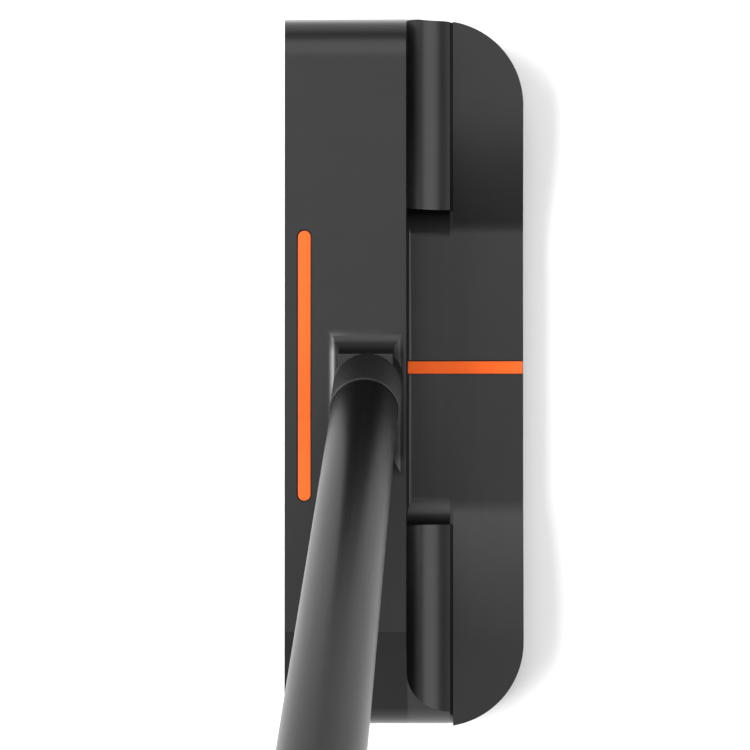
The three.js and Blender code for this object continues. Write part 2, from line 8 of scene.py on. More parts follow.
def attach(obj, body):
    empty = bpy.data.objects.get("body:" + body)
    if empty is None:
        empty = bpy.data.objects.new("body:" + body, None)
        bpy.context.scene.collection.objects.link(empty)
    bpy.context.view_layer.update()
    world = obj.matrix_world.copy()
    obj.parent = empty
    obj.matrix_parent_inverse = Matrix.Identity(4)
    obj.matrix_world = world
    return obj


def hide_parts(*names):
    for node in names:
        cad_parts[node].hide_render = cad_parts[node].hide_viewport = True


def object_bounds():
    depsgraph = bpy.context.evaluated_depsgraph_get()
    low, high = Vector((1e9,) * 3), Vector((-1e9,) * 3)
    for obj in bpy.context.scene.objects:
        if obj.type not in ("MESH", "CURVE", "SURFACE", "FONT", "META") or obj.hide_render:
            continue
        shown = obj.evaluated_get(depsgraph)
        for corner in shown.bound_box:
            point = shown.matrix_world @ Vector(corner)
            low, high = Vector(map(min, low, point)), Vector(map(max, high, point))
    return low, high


# Mallet putter with an over-hosel shaft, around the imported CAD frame.
# Metres. +Z is up, +Y points to the toe, -X is the direction of the stroke.
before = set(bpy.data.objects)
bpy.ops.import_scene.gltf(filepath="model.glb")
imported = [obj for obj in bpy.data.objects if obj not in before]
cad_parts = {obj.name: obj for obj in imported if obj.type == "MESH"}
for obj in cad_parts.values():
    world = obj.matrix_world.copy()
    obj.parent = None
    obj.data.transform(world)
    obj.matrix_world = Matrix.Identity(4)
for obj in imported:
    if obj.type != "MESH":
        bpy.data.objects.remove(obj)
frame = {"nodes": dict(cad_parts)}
cad_low, cad_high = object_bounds()

# ---- head ----
FACE_X = -0.01955
BLOCK_BACK_X = 0.0003
WING_X = 0.00794
REAR_X = 0.01975
TOE_Y = 0.0582
HEEL_Y = -0.0602
LOFT = math.radians(3)
BLOCK_TOP = 0.025
TOE_ROUND = 0.0068
TOE_DRAFT = 0.001
TOE_STEP = 0.006
HEEL_SLOPE_START_Y = -0.0436
HEEL_SLOPE_END_Y = -0.057
HEEL_SLOPE_END_Z = 0.0106
REAR_CORNER_R = 0.0142
FRONT_CORNER_R = 0.0015
LEADING_EDGE_R = 0.0016
TRAILING_EDGE_R = 0.0022
SOLE_FLAT_HALF = 0.032
SOLE_END_RISE = 0.0024
LEADING_X = FACE_X - BLOCK_TOP * math.tan(LOFT)

# ---- flange, wings and coves ----
FLOOR_Z = 0.007
WING_TOP = 0.0105
WING_FLAT_Y = 0.046
WING_JOIN_Y = 0.0224
WING_JOIN_R = 0.008
COVE_R = 0.0075
COVE_BOTTOM = 0.0097
TROUGH_END_Y = 0.0264
TROUGH_FILLET_RUN = 0.0046
RELIEF_WIDTH = 0.0005
RELIEF_DEPTH = 0.0016
WALL_CORNER_R = 0.0008

# ---- boss, neck, shaft line ----
BOSS_LEFT, BOSS_RIGHT = -0.0106, -0.0017
BOSS_TOE, BOSS_HEEL = 0.0018, -0.0144
BOSS_TOP = 0.0305
BOSS_ROOT = BLOCK_TOP - 0.003
BOSS_SIDE_R = 0.002
BOSS_END_R = 0.0043
RIM = Vector((-0.00604, -0.00757, 0.0404))
LIE_LEAN = math.radians(19.5)
FORWARD_LEAN = math.radians(0.85)
NECK_R = 0.0056
NECK_ROOT = 0.018
RIM_BEVEL = 0.00016
COLLAR_R = 0.005
COLLAR_GAP = 0.00003
POST_R = 0.0036
POST_LENGTH = 0.032
CLUB_LENGTH = 0.8636

# ---- shaft and grip, measured along the shaft line from the neck's rim ----
SHAFT_TIP_R = 0.0053
SHAFT_TAPER = 0.0029
SHAFT_WALL = 0.0006
SHAFT_START = 0.00032
GRIP_LENGTH = 0.266
GRIP_WALL_LOW = 0.0024
GRIP_WALL_HIGH = 0.0046
GRIP_FLAT = 0.72
SHAFT_BEVEL = 0.00014
SHAFT_RINGS = 24
TAPE_WALL = 0.0004
CAP_THICKNESS = 0.003
CAP_STEM = 0.014
CAP_VENT_R = 0.0012
CAP_EDGE_R = 0.0011
CAP_DOME = 0.0005
CAP_FOOT = 0.0003
CAP_LIP = 0.0004
CAP_RING_SHARE = 0.62
CAP_RING_DEPTH = 0.00035

# ---- pieces set into the head ----
GAP = 0.0003
INSERT_HALF_LENGTH = 0.043
INSERT_LOW, INSERT_HIGH = 0.004, 0.0205
INSERT_THICKNESS = 0.004
INSERT_CORNER = 0.004
INSERT_OVERCUT = 0.003
INSERT_GROOVE_PITCH = 0.0011
INSERT_GROOVE_DEPTH = 0.00018
INSERT_GROOVE_HALF = 0.00028
BOND_FILM = 0.0005
PLATE_X = -0.0015
PLATE_HALF_WIDTH = 0.0125
PLATE_HALF_LENGTH = 0.033
PLATE_THICKNESS = 0.003
PLATE_CORNER = 0.005
SCREW_DX, SCREW_DY = 0.0087, 0.028
SCREW_HEAD_R, SCREW_SHANK_R = 0.0028, 0.0015
SCREW_RIM, SCREW_HEAD, SCREW_LENGTH = 0.0005, 0.0015, 0.0062
SCREW_RECESS = 0.0002
SOCKET_R, SOCKET_DEPTH = 0.00115, 0.0015
WEIGHT_X, WEIGHT_Y = -0.0065, 0.046
WEIGHT_R, WEIGHT_FLANGE_R = 0.008, 0.0092
WEIGHT_BOTTOM, WEIGHT_FLANGE, WEIGHT_THICKNESS = 0.0013, 0.0016, 0.0065
WEIGHT_PIN_X, WEIGHT_PIN_R, WEIGHT_PIN_DEPTH = 0.005, 0.0011, 0.002
WEIGHT_CHAMFER = 0.0003
WEIGHT_GROOVE_R, WEIGHT_GROOVE = 0.0072, 0.0002
WASHER_THICKNESS = 0.0006
MARK_WIDTH = 0.0021
MARK_DEPTH = 0.0009
MARK_RECESS = 0.00012
MARK_GAP = 0.0002
MARK_SETBACK = 0.0001
FACE_MARK_X = -0.01632
FACE_MARK_HALF = 0.0221

# ---- edge rounds ----
HEAD_EDGE = 0.00045
FACE_PAINT_EDGE = 0.00012
FLANGE_PAINT_EDGE = 0.0001
PLATE_EDGE = 0.00015
SCREW_EDGE = 0.00006
WEIGHT_EDGE = 0.00008
SHAFT_EDGE = 0.00005
CAP_EDGE = 0.00012
NECK_EDGE_SHARE = 0.18
BOSS_EDGE_SHARE = 0.4
REAR_EDGE_SHARE = 0.7
PLAIN_EDGE_SHARE = 0.5
BOSS_FOOT = 0.00025
ON_RIM = 0.0001

FAR = 0.08
MARGIN = 0.001
SAME = 1e-7
MERGE = 2e-6
FLAT_ANGLE = math.radians(0.05)
ROUND = 96
BORE_ROUND = 48
PIN_ROUND = 40
SHAFT_ROUND = 128
CAP_ROUND = 112
ARC = 28


# ---- outlines ----
def arc(cu, cv, r, start, end, steps=ARC):
    """Points on an arc from one angle to the other, in degrees, with both ends."""
    points = []
    for i in range(steps + 1):
        a = math.radians(start + (end - start) * i / steps)
        points.append((cu + r * math.cos(a), cv + r * math.sin(a)))
    return points


def curve(a, b, c, steps=ARC):
    """Points on the quadratic curve from a to c that leans on b."""
    points = []
    for i in range(steps + 1):
        t = i / steps
        s = 1 - t
        points.append(tuple(s * s * a[k] + 2 * s * t * b[k] + t * t * c[k] for k in (0, 1)))
    return points


def rounded(u0, u1, v0, v1, r, steps=ARC // 2):
    return (
        arc(u1 - r, v0 + r, r, -90, 0, steps)
        + arc(u1 - r, v1 - r, r, 0, 90, steps)
        + arc(u0 + r, v1 - r, r, 90, 180, steps)
        + arc(u0 + r, v0 + r, r, 180, 270, steps)
    )


def plan_outline():
    front, small, large = LEADING_X, FRONT_CORNER_R, REAR_CORNER_R
    return (
        arc(REAR_X - large, HEEL_Y + large, large, -90, 0, 48)
        + arc(REAR_X - large, TOE_Y - large, large, 0, 90, 48)
        + arc(front + small, TOE_Y - small, small, 90, 180, 8)
        + arc(front + small, HEEL_Y + small, small, 180, 270, 8)
    )


def loft_outline():
    """The lofted face in front and the rounded leading and trailing edges below."""
    lean = math.tan(LOFT)
    r = TRAILING_EDGE_R
    low = LEADING_EDGE_R
    start = (LEADING_X + low, 0.0)
    end = (LEADING_X + lean * low, low)
    points = arc(REAR_X - r, r, r, -90, 0, 12)
    points += [(REAR_X + MARGIN, r), (REAR_X + MARGIN, FAR), (LEADING_X + lean * FAR, FAR)]
    points += curve(end, (LEADING_X, 0.0), start, 12)
    return points


def sole_line():
    """The sole from heel to toe: flat in the middle, curving up a little to both ends."""
    flat, rise = SOLE_FLAT_HALF, SOLE_END_RISE
    points = [(HEEL_Y - MARGIN, rise)]
    points += curve((HEEL_Y, rise), ((HEEL_Y - flat) / 2, 0.0), (-flat, 0.0), 16)
    points += curve((flat, 0.0), ((TOE_Y + flat) / 2, 0.0), (TOE_Y, rise), 16)
    points += [(TOE_Y + MARGIN, rise)]
    return points


def block_outline():
    """End view of the block: rounded toe, long flat slope at the heel."""
    slope = math.atan((BLOCK_TOP - HEEL_SLOPE_END_Z) / (HEEL_SLOPE_START_Y - HEEL_SLOPE_END_Y))
    heel_r = (HEEL_SLOPE_END_Y - HEEL_Y) / (1 - math.sin(slope))
    heel_z = HEEL_SLOPE_END_Z - heel_r * math.cos(slope)
    toe_y = TOE_Y - TOE_DRAFT - TOE_ROUND
    toe_z = BLOCK_TOP - TOE_ROUND
    points = sole_line()
    points += [(TOE_Y + MARGIN, toe_z - TOE_STEP), (TOE_Y, toe_z - TOE_STEP)]
    points += arc(toe_y, toe_z, TOE_ROUND, 0, 90, 40)
    points += [(HEEL_SLOPE_START_Y, BLOCK_TOP)]
    points += arc(HEEL_Y + heel_r, heel_z, heel_r, 90 + math.degrees(slope), 180, 24)
    points += [(HEEL_Y - MARGIN, heel_z)]
    return points


def wing_curve(top):
    """From toe to heel: a flat top that drops to the floor by a long convex arc and a short concave one."""
    run = WING_FLAT_Y - WING_JOIN_Y
    turn = 2 * math.atan((top - FLOOR_Z) / run)
    r = run / math.sin(turn) - WING_JOIN_R
    turn = math.degrees(turn)
    join_z = FLOOR_Z + WING_JOIN_R
    points = [(TOE_Y + MARGIN, top)]
    points += arc(WING_FLAT_Y, top - r, r, 90, 90 + turn)
    points += arc(WING_JOIN_Y, join_z, WING_JOIN_R, turn - 90, -90)
    points += arc(-WING_JOIN_Y, join_z, WING_JOIN_R, -90, -90 - turn)
    points += arc(-WING_FLAT_Y, top - r, r, 90 - turn, 90)
    points += [(HEEL_Y - MARGIN, top)]
    return points


def trough_outline():
    """The space of the coves, ended by a wall and a round at each side of the flange floor."""
    turn = 2 * math.atan((COVE_BOTTOM - FLOOR_Z) / TROUGH_FILLET_RUN)
    r = TROUGH_FILLET_RUN / math.sin(turn)
    turn = math.degrees(turn)
    root = TROUGH_END_Y - TROUGH_FILLET_RUN
    points = sole_line()
    points += [(TOE_Y + MARGIN, BLOCK_TOP), (TROUGH_END_Y, BLOCK_TOP), (TROUGH_END_Y, COVE_BOTTOM)]
    points += arc(root, FLOOR_Z + r, r, turn - 90, -90)
    points += arc(-root, FLOOR_Z + r, r, -90, -90 - turn)
    points += [(-TROUGH_END_Y, COVE_BOTTOM), (-TROUGH_END_Y, BLOCK_TOP), (HEEL_Y - MARGIN, BLOCK_TOP)]
    return points


def cove_section():
    inner = BLOCK_BACK_X - 2 * MARGIN
    level = COVE_BOTTOM + COVE_R
    points = [(inner, 0.0), (WING_X, 0.0), (WING_X, COVE_BOTTOM)]
    points += arc(BLOCK_BACK_X + COVE_R, level, COVE_R, -90, -180, 44)
    points += [(inner, level)]
    return points


def wall_corner_section():
    r = WALL_CORNER_R
    points = [(BLOCK_BACK_X - MARGIN, FLOOR_Z - MARGIN), (BLOCK_BACK_X + r, FLOOR_Z - MARGIN)]
    points += arc(BLOCK_BACK_X + r, FLOOR_Z + r, r, -90, -180, 10)
    points += [(BLOCK_BACK_X - MARGIN, FLOOR_Z + r)]
    return points


def boss_outline(low, high, r):
    """Straight sides that meet the block's top by a concave round."""
    points = [(low - r, BOSS_ROOT), (high + r, BOSS_ROOT)]
    points += arc(high + r, BLOCK_TOP + r, r, -90, -180, 20)
    points += [(high, BOSS_TOP), (low, BOSS_TOP)]
    points += arc(low - r, BLOCK_TOP + r, r, 0, -90, 20)
    return points


# ---- solids ----
PLACES = {
    "x": lambda u, v, w: (w, u, v),
    "y": lambda u, v, w: (u, w, v),
    "z": lambda u, v, w: (u, v, w),
}


def finished(mesh, name):
    bmesh.ops.recalc_face_normals(mesh, faces=mesh.faces)
    data = bpy.data.meshes.new(name)
    mesh.to_mesh(data)
    mesh.free()
    obj = bpy.data.objects.new(name, data)
    bpy.context.scene.collection.objects.link(obj)
    return obj


def prism(outline, low, high, axis, name="tool"):
    """A closed outline carried along one axis."""
    corners = []
    for point in outline:
        if not corners or math.dist(point, corners[-1]) > SAME:
            corners.append(point)
    if math.dist(corners[0], corners[-1]) < SAME:
        corners.pop()
    mesh = bmesh.new()
    place = PLACES[axis]
    near, away = [[mesh.verts.new(place(u, v, w)) for u, v in corners] for w in (low, high)]
    mesh.faces.new(near)
    mesh.faces.new(away)
    for i in range(len(corners)):
        mesh.faces.new((near[i - 1], near[i], away[i], away[i - 1]))
    return finished(mesh, name)


def lathe(profile, steps=ROUND, closed=False, name="tool"):
    """A profile of (radius, height) turned about Z. A closed one is a tube's wall."""
    mesh = bmesh.new()
    rings = []
    for r, z in profile:
        count = steps if r > SAME else 1
        turns = [math.tau * k / steps for k in range(count)]
        rings.append([mesh.verts.new((r * math.cos(a), r * math.sin(a), z)) for a in turns])
    pairs = list(zip(rings, rings[1:]))
    if closed:
        pairs.append((rings[-1], rings[0]))
    for a, b in pairs:
        for i in range(steps):
            j = (i + 1) % steps
            corners = [a[i % len(a)], a[j % len(a)], b[j % len(b)], b[i % len(b)]]
            mesh.faces.new(list(dict.fromkeys(corners)))
    return finished(mesh, name)


def moved(obj, matrix):
    obj.data.transform(matrix)
    return obj


def shifted(obj, x, y, z=0.0):
    return moved(obj, Matrix.Translation((x, y, z)))


def settle(obj):
    """Keeps the mesh that the modifiers make, and drops the modifiers."""
    graph = bpy.context.evaluated_depsgraph_get()
    made = bpy.data.meshes.new_from_object(obj.evaluated_get(graph))
    obj.modifiers.clear()
    obj.data = made
    return obj


def combine(base, tool, operation):
    step = base.modifiers.new("combine", "BOOLEAN")
    step.operation = operation
    step.solver = "MANIFOLD"
    step.object = tool
    settle(base)
    bpy.data.objects.remove(tool)
    return base


def join(base, tool):
    return combine(base, tool, "UNION")


def cut(base, tool):
    return combine(base, tool, "DIFFERENCE")


def keep_within(base, tool):
    return combine(base, tool, "INTERSECT")


def clean(obj):
    """Merges doubled points and flat neighbours that the cuts leave."""
    mesh = bmesh.new()
    mesh.from_mesh(obj.data)
    bmesh.ops.remove_doubles(mesh, verts=mesh.verts, dist=MERGE)
    bmesh.ops.dissolve_degenerate(mesh, edges=mesh.edges, dist=MERGE)
    bmesh.ops.dissolve_limit(
        mesh, angle_limit=FLAT_ANGLE, verts=mesh.verts, edges=mesh.edges, delimit={"NORMAL"})
    mesh.to_mesh(obj.data)
    mesh.free()
    return obj


def mark_edges(obj, angle, share):
    """Gives each edge sharper than the angle its share of the full rounding."""
    mesh = bmesh.new()
    mesh.from_mesh(obj.data)
    weights = mesh.edges.layers.float.new("bevel_weight_edge")
    for edge in mesh.edges:
        sharp = len(edge.link_faces) == 2 and edge.calc_face_angle(0.0) > math.radians(angle)
        edge[weights] = share((edge.verts[0].co + edge.verts[1].co) / 2) if sharp else 0.0
    mesh.to_mesh(obj.data)
    mesh.free()


def soften(obj, width, segments=2, angle=30, share=lambda place: 1.0):
    """A small round on every edge sharper than the angle, with smooth shading over the rest."""
    for face in obj.data.polygons:
        face.use_smooth = True
    mark_edges(obj, angle, share)
    round_off = obj.modifiers.new("edge_round", "BEVEL")
    round_off.width = width
    round_off.segments = segments
    round_off.limit_method = "WEIGHT"
    round_off.use_clamp_overlap = True
    round_off.harden_normals = True
    weigh = obj.modifiers.new("flat_faces", "WEIGHTED_NORMAL")
    weigh.keep_sharp = True
    return settle(obj)


# ---- the shaft line's own frame: z runs up the shaft from the neck's rim ----
SHAFT_DIRECTION = Vector((-math.tan(FORWARD_LEAN), -math.tan(LIE_LEAN), 1.0)).normalized()
SHAFT_TURN = Vector((0.0, 0.0, 1.0)).rotation_difference(SHAFT_DIRECTION)
SHAFT_FRAME = Matrix.Translation(RIM) @ SHAFT_TURN.to_matrix().to_4x4()
FACE_FRAME = Matrix.Translation((LEADING_X, 0.0, 0.0)) @ Matrix.Rotation(LOFT, 4, "Y")
CLUB_TOP = CLUB_LENGTH - RIM.z / SHAFT_DIRECTION.z
CAP_BASE = CLUB_TOP - CAP_THICKNESS
SHAFT_END = CAP_BASE - GAP
GRIP_START = CLUB_TOP - GRIP_LENGTH
SCREW_PLACES = [(PLATE_X + a * SCREW_DX, b * SCREW_DY) for b in (1, -1) for a in (-1, 1)]


def shaft_radius(z):
    return SHAFT_TIP_R + SHAFT_TAPER * z


# ---- head pieces ----
def screw_profile(grow, bottom):
    head, shank = SCREW_HEAD_R + grow, SCREW_SHANK_R + grow
    cone = SCREW_RIM + SCREW_HEAD
    top = SCREW_LENGTH + grow
    return [(0, bottom), (head, bottom), (head, SCREW_RIM), (shank, cone), (shank, top), (0, top)]


def screw_room(x, y):
    return shifted(lathe(screw_profile(GAP, -MARGIN), BORE_ROUND), x, y)


def head_block():
    """The block, the coves, the wings and the flange floor, inside the plan and the loft."""
    body = prism(block_outline(), LEADING_X - MARGIN, BLOCK_BACK_X, "x", "head")
    inner = BLOCK_BACK_X - 2 * MARGIN
    cove = prism(cove_section(), HEEL_Y - 2 * MARGIN, TOE_Y + 2 * MARGIN, "y")
    keep_within(cove, prism(trough_outline(), inner, WING_X + MARGIN, "x"))
    keep_within(cove, prism(block_outline(), inner, WING_X + MARGIN, "x"))
    join(body, cove)
    join(body, prism(sole_line() + wing_curve(WING_TOP), WING_X, REAR_X + MARGIN, "x"))
    above = [(TOE_Y + MARGIN, BLOCK_TOP)]
    above += wing_curve(WING_TOP - RELIEF_DEPTH)
    above += [(HEEL_Y - MARGIN, BLOCK_TOP)]
    cut(body, prism(above, WING_X - RELIEF_WIDTH, WING_X, "x"))
    end = TROUGH_END_Y + MARGIN
    join(body, prism(wall_corner_section(), -end, end, "y"))
    keep_within(body, prism(plan_outline(), -MARGIN, FAR, "z"))
    keep_within(body, prism(loft_outline(), HEEL_Y - 2 * MARGIN, TOE_Y + 2 * MARGIN, "y"))
    return body


def add_boss_and_neck(body):
    boss = prism(boss_outline(BOSS_LEFT, BOSS_RIGHT, BOSS_SIDE_R), -FAR, FAR, "y")
    keep_within(boss, prism(boss_outline(BOSS_HEEL, BOSS_TOE, BOSS_END_R), -FAR, BLOCK_BACK_X, "x"))
    join(body, boss)
    profile = [(0, -NECK_ROOT), (NECK_R, -NECK_ROOT), (NECK_R, -RIM_BEVEL), (NECK_R - RIM_BEVEL, 0)]
    collar_top = SHAFT_START - COLLAR_GAP
    profile += [(COLLAR_R, 0), (COLLAR_R, collar_top), (POST_R, collar_top)]
    profile += [(POST_R, POST_LENGTH - MARGIN), (POST_R - MARGIN, POST_LENGTH), (0, POST_LENGTH)]
    neck = moved(lathe(profile), SHAFT_FRAME)
    room = [(-FAR, -FAR), (BLOCK_BACK_X, -FAR), (BLOCK_BACK_X, BOSS_TOE), (-FAR, BOSS_TOE)]
    keep_within(neck, prism(room, BOSS_ROOT, FAR, "z"))
    return join(body, neck)


def cut_pockets(body):
    """Room for the insert, the sole plate and its screws, the weights and the two sight lines."""
    low, high, length = INSERT_LOW - GAP, INSERT_HIGH + GAP, INSERT_HALF_LENGTH + GAP
    outline = rounded(-length, length, low, high, INSERT_CORNER + GAP)
    depth = INSERT_THICKNESS + BOND_FILM + 2 * GAP
    cut(body, moved(prism(outline, -INSERT_OVERCUT, depth, "x"), FACE_FRAME))
    wide, long = PLATE_HALF_WIDTH + GAP, PLATE_HALF_LENGTH + GAP
    plate = rounded(PLATE_X - wide, PLATE_X + wide, -long, long, PLATE_CORNER + GAP)
    cut(body, prism(plate, -MARGIN, PLATE_THICKNESS + GAP, "z"))
    for x, y in SCREW_PLACES:
        cut(body, screw_room(x, y))
    shoulder = WEIGHT_BOTTOM + WEIGHT_FLANGE + WASHER_THICKNESS + 2 * GAP
    flange, core, top = WEIGHT_FLANGE_R + GAP, WEIGHT_R + GAP, WEIGHT_BOTTOM + WEIGHT_THICKNESS + GAP
    low = -2 * MARGIN
    bore = [(0, low), (flange, low), (flange, shoulder), (core, shoulder), (core, top), (0, top)]
    for side in (1, -1):
        cut(body, shifted(lathe(bore), WEIGHT_X, side * WEIGHT_Y))
    wide, long = MARK_WIDTH / 2 + MARK_GAP, FACE_MARK_HALF + MARK_GAP
    slot = rounded(FACE_MARK_X - wide, FACE_MARK_X + wide, -long, long, wide)
    cut(body, prism(slot, BLOCK_TOP - MARK_DEPTH - GAP, BLOCK_TOP + MARGIN, "z"))
    start, end = BLOCK_BACK_X - MARK_GAP, REAR_X + MARGIN
    groove = [(start, -wide), (end, -wide), (end, wide), (start, wide)]
    return cut(body, prism(groove, FLOOR_Z - MARK_DEPTH - GAP, FLOOR_Z + WALL_CORNER_R, "z"))


def on_rear_rim(place):
    """Whether a place lies on the straight or one of the round corners of the rear rim."""
    if abs(place.x - REAR_X) < ON_RIM:
        return True
    past_x = max(place.x - REAR_X + REAR_CORNER_R, 0.0)
    past_y = abs(place.y - (TOE_Y + HEEL_Y) / 2) - (TOE_Y - HEEL_Y) / 2 + REAR_CORNER_R
    return past_y > 0 and abs(math.hypot(past_x, past_y) - REAR_CORNER_R) < ON_RIM


def head_edge_share(place):
    """Widest on the rear rim, least on the neck's rim and the boss."""
    if place.z > BOSS_TOP + MARGIN:
        return NECK_EDGE_SHARE
    if place.z > BLOCK_TOP + BOSS_FOOT:
        return BOSS_EDGE_SHARE
    if place.z > FLOOR_Z - MARGIN and place.x > WING_X and on_rear_rim(place):
        return REAR_EDGE_SHARE
    return PLAIN_EDGE_SHARE


def make_head():
    body = cut_pockets(add_boss_and_neck(head_block()))
    clean(body)
    return soften(body, HEAD_EDGE, segments=3, share=head_edge_share)


def make_face_mark():
    wide = MARK_WIDTH / 2
    slot = rounded(FACE_MARK_X - wide, FACE_MARK_X + wide, -FACE_MARK_HALF, FACE_MARK_HALF, wide)
    mark = prism(slot, BLOCK_TOP - MARK_DEPTH, BLOCK_TOP - MARK_RECESS, "z", "face_mark_paint")
    return soften(mark, FACE_PAINT_EDGE, segments=3)


def make_flange_mark():
    wide = MARK_WIDTH / 2
    start, end = BLOCK_BACK_X, REAR_X - MARK_SETBACK
    strip = [(start, -wide), (end, -wide), (end, wide), (start, wide)]
    mark = prism(strip, FLOOR_Z - MARK_DEPTH, FLOOR_Z - MARK_RECESS, "z", "flange_mark_paint")
    return soften(mark, FLANGE_PAINT_EDGE, segments=3)


def make_insert():
    """The face plate, milled with level grooves."""
    low, high, length = INSERT_LOW, INSERT_HIGH, INSERT_HALF_LENGTH
    outline = rounded(-length, length, low, high, INSERT_CORNER)
    plate = prism(outline, 0.0, INSERT_THICKNESS, "x", "strike_plate")
    soften(plate, PLATE_EDGE)
    pitch, depth, half = INSERT_GROOVE_PITCH, INSERT_GROOVE_DEPTH, INSERT_GROOVE_HALF
    count = int((high - low) / pitch) - 1
    first = (low + high) / 2 - pitch * (count - 1) / 2
    land = -SAME * 20
    comb = [(-MARGIN, low + half)]
    for i in range(count):
        z = first + i * pitch
        comb += [(land, z - half), (depth, z - half / 2), (depth, z + half / 2), (land, z + half)]
    comb.append((-MARGIN, high - half))
    cut(plate, prism(comb, -length + INSERT_CORNER, length - INSERT_CORNER, "y"))
    return moved(plate, FACE_FRAME)


def make_sole_plate():
    wide, long = PLATE_HALF_WIDTH, PLATE_HALF_LENGTH
    outline = rounded(PLATE_X - wide, PLATE_X + wide, -long, long, PLATE_CORNER)
    plate = prism(outline, 0.0, PLATE_THICKNESS, "z", "sole_steel_plate")
    for x, y in SCREW_PLACES:
        cut(plate, screw_room(x, y))
    return soften(clean(plate), PLATE_EDGE)


def make_screw(number, x, y):
    """A countersunk screw with a hexagonal socket."""
    screw = lathe(screw_profile(0.0, SCREW_RECESS), BORE_ROUND, name=f"plate_screw_{number}")
    hexagon = [(SOCKET_R * u, SOCKET_R * v) for u, v in arc(0, 0, 1, 0, 300, 5)]
    cut(screw, prism(hexagon, -MARGIN, SOCKET_DEPTH, "z"))
    soften(clean(screw), SCREW_EDGE)
    return shifted(screw, x, y)


def make_weight(side, end):
    """A turned weight with a chamfered rim, a decorative groove and two pin holes."""
    low = WEIGHT_BOTTOM
    shoulder, top = low + WEIGHT_FLANGE, low + WEIGHT_THICKNESS
    chamfer, groove, flange = WEIGHT_CHAMFER, WEIGHT_GROOVE, WEIGHT_FLANGE_R
    profile = [(0, low), (WEIGHT_GROOVE_R - groove, low)]
    profile += [(WEIGHT_GROOVE_R, low + groove), (WEIGHT_GROOVE_R + groove, low)]
    profile += [(flange - chamfer, low), (flange, low + chamfer), (flange, shoulder)]
    profile += [(WEIGHT_R, shoulder), (WEIGHT_R, top - chamfer), (WEIGHT_R - chamfer, top), (0, top)]
    weight = lathe(profile, name=f"{end}_weight_turned")
    depth = low + WEIGHT_PIN_DEPTH
    pin = [(0, -MARGIN), (WEIGHT_PIN_R, -MARGIN), (WEIGHT_PIN_R, depth), (0, depth)]
    for dx in (-WEIGHT_PIN_X, WEIGHT_PIN_X):
        cut(weight, shifted(lathe(pin, PIN_ROUND), dx, 0.0))
    soften(clean(weight), WEIGHT_EDGE)
    return shifted(weight, WEIGHT_X, side * WEIGHT_Y)


# ---- shaft, grip and cap ----
def make_shaft():
    """The tapered tube with a bevelled lower rim."""
    bevel = SHAFT_BEVEL
    z0, z1 = SHAFT_START, SHAFT_END
    profile = [(shaft_radius(z0) - SHAFT_WALL, z0), (shaft_radius(z0) - bevel, z0)]
    profile += [(shaft_radius(z0) - bevel * 0.3, z0 + bevel * 0.3), (shaft_radius(z0), z0 + bevel)]
    for i in range(1, SHAFT_RINGS + 1):
        z = z0 + bevel + (z1 - z0 - bevel) * i / SHAFT_RINGS
        profile.append((shaft_radius(z), z))
    profile.append((shaft_radius(z1) - SHAFT_WALL, z1))
    shaft = lathe(profile, SHAFT_ROUND, closed=True, name="shaft_tube")
    soften(shaft, SHAFT_EDGE, segments=1, angle=40)
    return moved(shaft, SHAFT_FRAME)


GRIP_RINGS = 620
GRIP_SIDES = 176
GRIP_LIP = 0.0022
GRIP_LIP_SHARE = 0.55
GRIP_SINK = 0.00003
GRIP_CORNER = 14.0
GROOVE_PITCH = 0.0042
GROOVE_HALF = 0.00055
GROOVE_DEPTH = 0.00032
PLAIN_LOW = 0.016
PLAIN_HIGH = 0.012
PATTERN_FADE = 0.003
FLAT_PATTERN_REACH = 0.86
FLAT_PATTERN_RIM = 0.12
FLAT_PITCH_SHARE = 0.55
BACK_PATTERN_START = 1.22
BACK_PATTERN_RIM = 0.1
CROSS_TURN = 3.0 * GRIP_WALL_HIGH
CROSS_RISE = 0.62


def grip_radius(z):
    t = max(0.0, min(1.0, (z - GRIP_START) / (SHAFT_END - GRIP_START)))
    wall = GRIP_WALL_LOW + (GRIP_WALL_HIGH - GRIP_WALL_LOW) * math.sqrt(t)
    return shaft_radius(z) + 2 * GAP + TAPE_WALL + wall / GRIP_FLAT


def grip_section(angle):
    """The unit section: a circle with a flat toward +Y and soft corners."""
    reach = math.sin(angle)
    if reach <= 0.0:
        return 1.0
    flat = reach / GRIP_FLAT
    return (1.0 + flat ** GRIP_CORNER) ** (-1.0 / GRIP_CORNER)


def groove_at(distance):
    """Depth of a round-bottomed groove at a distance from its middle."""
    if distance >= GROOVE_HALF:
        return 0.0
    return GROOVE_DEPTH * 0.5 * (1 + math.cos(math.pi * distance / GROOVE_HALF))


def nearest(value, pitch):
    return abs((value / pitch + 0.5) % 1.0 - 0.5) * pitch


def clamped(value):
    return max(0.0, min(1.0, value))


def grip_pattern(z, angle):
    """Crossed grooves round the back, short level grooves down the flat, plain bands at both ends."""
    along = z - GRIP_START
    fade = clamped(min(along - PLAIN_LOW, SHAFT_END - z - PLAIN_HIGH) / PATTERN_FADE)
    if fade == 0.0:
        return 0.0
    around = (angle - math.pi / 2) % math.tau
    around = min(around, math.tau - around)
    flat_half = math.acos(GRIP_FLAT)
    flat_end, back_start = flat_half * FLAT_PATTERN_REACH, flat_half * BACK_PATTERN_START
    if around < flat_end:
        rim = clamped((flat_end - around) / FLAT_PATTERN_RIM)
        return groove_at(nearest(along, GROOVE_PITCH * FLAT_PITCH_SHARE)) * rim * fade
    if around < back_start:
        return 0.0
    rim = clamped((around - back_start) / BACK_PATTERN_RIM)
    turn = (angle % math.tau) * CROSS_TURN
    a = groove_at(nearest(turn + along * CROSS_RISE, GROOVE_PITCH))
    b = groove_at(nearest(turn - along * CROSS_RISE, GROOVE_PITCH))
    return max(a, b) * rim * fade


